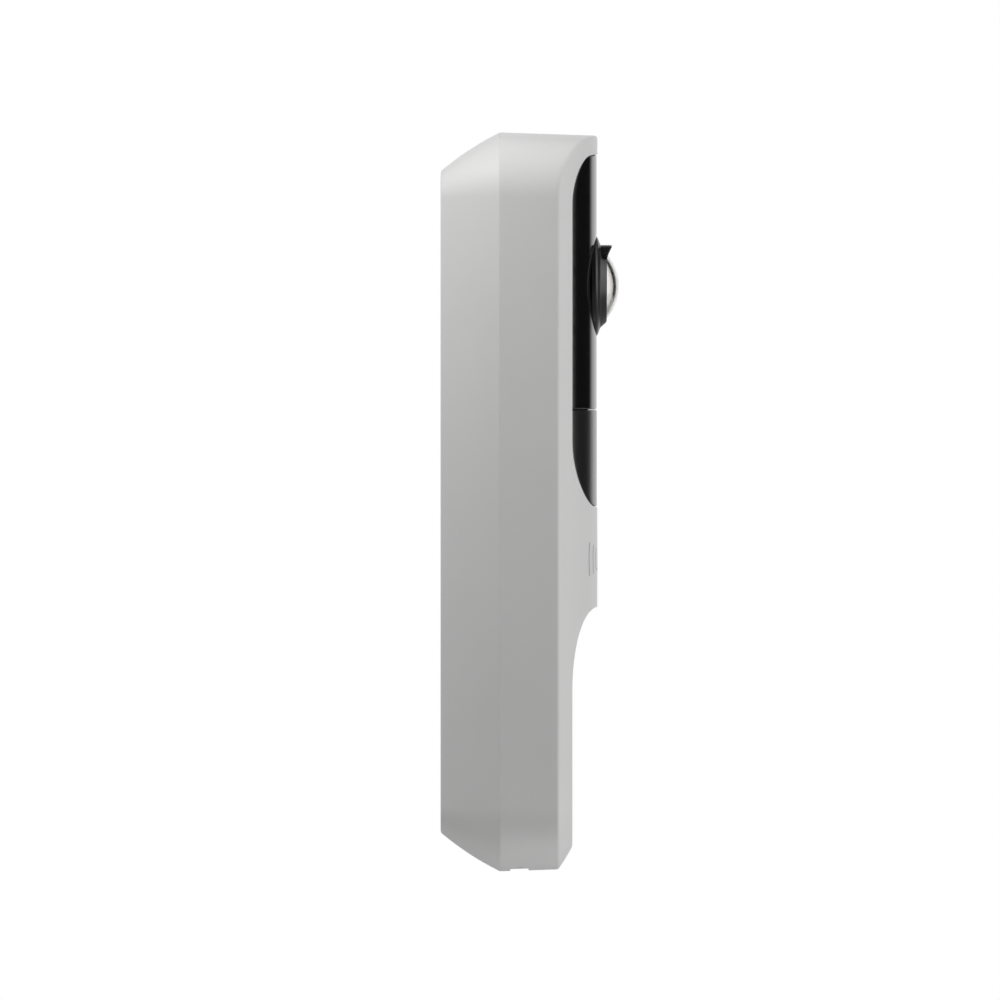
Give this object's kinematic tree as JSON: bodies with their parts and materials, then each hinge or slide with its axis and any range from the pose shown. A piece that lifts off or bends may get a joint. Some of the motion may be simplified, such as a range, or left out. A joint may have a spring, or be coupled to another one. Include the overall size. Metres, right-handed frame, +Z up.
{
  "type": "video doorbell",
  "caption": "Tall wall-mounted video doorbell with a tapered rear cover, convex front, arched black camera window, domed lens and a ringed push button in a scooped recess.",
  "frame": {"origin": "centre of the mounting plate's wall face", "axes": "+Z up, -Y out of the front, away from the wall, +X to the right seen from the front"},
  "size_m": [0.047, 0.0331, 0.137],
  "materials": {
    "white_shell": "fine satin texture",
    "white_cover": "fine satin texture",
    "black_window": "high gloss, darkly tinted",
    "motion_lens": "satin, darkly tinted",
    "black_trim": "satin black",
    "lens_glass": "polished, coated",
    "black_plastic": "matte",
    "ir_glass": "coated",
    "ir_resin": "tinted resin",
    "sensor_silicon": "polished",
    "circuit_board": "solder mask",
    "chassis_plastic": "matte",
    "bright_metal": "plated",
    "bracket_steel": "stamped and brushed",
    "brass_parts": "machined",
    "power_parts": "moulded",
    "battery_foil": "foil pouch",
    "film": "polyimide film",
    "terminal_plastic": "moulded",
    "soft_rubber": "silicone",
    "speaker_paper": "pressed paper",
    "light_guide": "frosted translucent",
    "led_resin": "clear resin",
    "vent_film": "porous film",
    "grey_plastic": "moulded"
  },
  "bodies": {
    "bracket": {"mounting_plate": "bracket_steel", "lock_insert": "brass_parts"},
    "housing": {"rear_cover": "white_cover", "front_shell": "white_shell", "shell_gasket": "soft_rubber", "camera_window": "black_window", "pir_lens": "motion_lens", "window_adhesive": "soft_rubber", "lens_bezel": "black_trim", "lens_visor": "black_trim", "lens_dome": "lens_glass", "lens_barrel": "black_plastic", "front_lens": "lens_glass", "rear_lens": "lens_glass", "ir_filter": "ir_glass", "image_sensor": "sensor_silicon", "camera_board": "circuit_board", "camera_mount": "black_plastic", "light_baffle": "black_plastic", "sensor_board": "circuit_board", "ir_leds": "ir_resin", "light_sensor": "sensor_silicon", "pir_sensor": "bright_metal", "chassis": "chassis_plastic", "main_board": "circuit_board", "shield_can": "bright_metal", "power_parts": "power_parts", "backup_battery": "battery_foil", "wifi_antenna": "film", "flex_cables": "film", "terminal_block": "terminal_plastic", "terminal_contacts": "brass_parts", "microphones": "black_plastic", "mic_seals": "soft_rubber", "speaker_frame": "black_plastic", "speaker_cone": "speaker_paper", "speaker_magnet": "bright_metal", "speaker_gasket": "soft_rubber", "speaker_mesh": "speaker_paper", "light_ring": "light_guide", "button_board": "circuit_board", "button_leds": "led_resin", "tact_switch": "black_plastic", "button_seal": "soft_rubber", "vent_membrane": "vent_film", "tamper_switch": "black_plastic", "reset_switch": "black_plastic", "case_screws": "bright_metal", "board_screws": "bright_metal"},
    "button": {"button_cap": "white_shell", "button_plunger": "grey_plastic"},
    "tamper_pin": {"tamper_plunger": "grey_plastic"},
    "reset_key": {"reset_button": "grey_plastic"},
    "left_clamp": {"terminal_washer_left": "bright_metal"},
    "left_screw": {"terminal_screw_left": "bright_metal"},
    "right_clamp": {"terminal_washer_right": "bright_metal"},
    "right_screw": {"terminal_screw_right": "bright_metal"},
    "lock_seal": {"lock_washer": "soft_rubber"},
    "lock_screw": {"lock_screw": "bright_metal"}
  },
  "joints": [
    {"name": "housing_lift", "type": "slide", "parent": "bracket", "child": "housing", "axis": [0, 0, 1], "range_m": [0, 0.006]},
    {"name": "button_press", "type": "slide", "parent": "housing", "child": "button", "axis": [0, 1, 0], "range_m": [0, 0.0005], "stiffness_N_per_m": 2500, "springref_m": -0.0004},
    {"name": "tamper_press", "type": "slide", "parent": "housing", "child": "tamper_pin", "axis": [0, -1, 0], "range_m": [0, 0.001], "stiffness_N_per_m": 300, "springref_m": -0.001},
    {"name": "reset_press", "type": "slide", "parent": "housing", "child": "reset_key", "axis": [0, -1, 0], "range_m": [0, 0.0003], "stiffness_N_per_m": 1500, "springref_m": -0.0003},
    {"name": "left_clamp_slide", "type": "slide", "parent": "housing", "child": "left_clamp", "axis": [0, 1, 0], "range_m": [0, 0.001]},
    {"name": "left_screw_turn", "type": "hinge", "parent": "left_clamp", "child": "left_screw", "pos_m": [-0.006, -0.0048, -0.02], "axis": [0, 1, 0], "range_deg": [0, 720]},
    {"name": "right_clamp_slide", "type": "slide", "parent": "housing", "child": "right_clamp", "axis": [0, 1, 0], "range_m": [0, 0.001]},
    {"name": "right_screw_turn", "type": "hinge", "parent": "right_clamp", "child": "right_screw", "pos_m": [0.006, -0.0048, -0.02], "axis": [0, 1, 0], "range_deg": [0, 720]},
    {"name": "lock_seal_slide", "type": "slide", "parent": "housing", "child": "lock_seal", "axis": [0, 0, -1], "range_m": [0, 0.004]},
    {"name": "lock_screw_turn", "type": "hinge", "parent": "lock_seal", "child": "lock_screw", "pos_m": [0, -0.0035, -0.0605], "axis": [0, 0, -1], "range_deg": [0, 2880]}
  ],
  "couplings": [
    {"joint": "left_screw_turn", "follows": "left_clamp_slide", "rad_per_m": 12566},
    {"joint": "right_screw_turn", "follows": "right_clamp_slide", "rad_per_m": 12566},
    {"joint": "lock_screw_turn", "follows": "lock_seal_slide", "rad_per_m": 12566}
  ]
}
